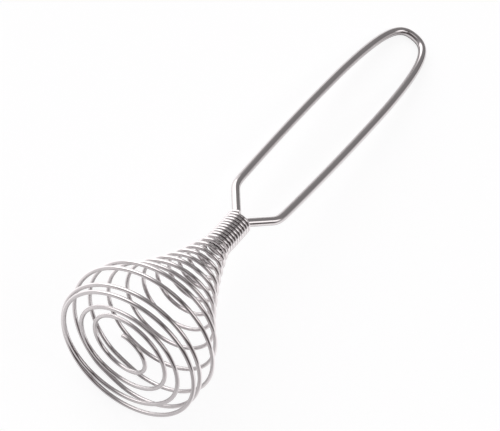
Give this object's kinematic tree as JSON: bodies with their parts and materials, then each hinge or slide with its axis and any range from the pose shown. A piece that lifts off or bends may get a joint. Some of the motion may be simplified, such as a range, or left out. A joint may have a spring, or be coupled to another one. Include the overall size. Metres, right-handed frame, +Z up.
{
  "type": "spiral whisk",
  "caption": "Spiral whisk: a thin wire coil, bound round the neck of a long wire loop handle, flares into a sprung cone that closes in a flat spiral base.",
  "frame": {"origin": "on the worktop, under the middle of the box of the whisk as it lies on its head and the tip of its handle", "axes": "+X from the head to the tip of the handle, +Z up from the worktop, Y across"},
  "size_m": [0.2124, 0.0552, 0.0544],
  "materials": {
    "handle_steel": "bright drawn stainless wire, polished, with faint drawing lines along it",
    "coil_steel": "bright drawn stainless spring wire, polished"
  },
  "bodies": {
    "handle": {"handle_loop": "handle_steel", "neck_binding": "coil_steel", "cone_spring": "coil_steel"},
    "head": {"base_spiral": "coil_steel"}
  },
  "joints": [
    {"name": "head_press", "type": "slide", "parent": "handle", "child": "head", "axis": [0.9912, 0.0401, -0.1263], "range_m": [0, 0.018], "stiffness_N_per_m": 150, "deforming": ["cone_spring"]}
  ]
}
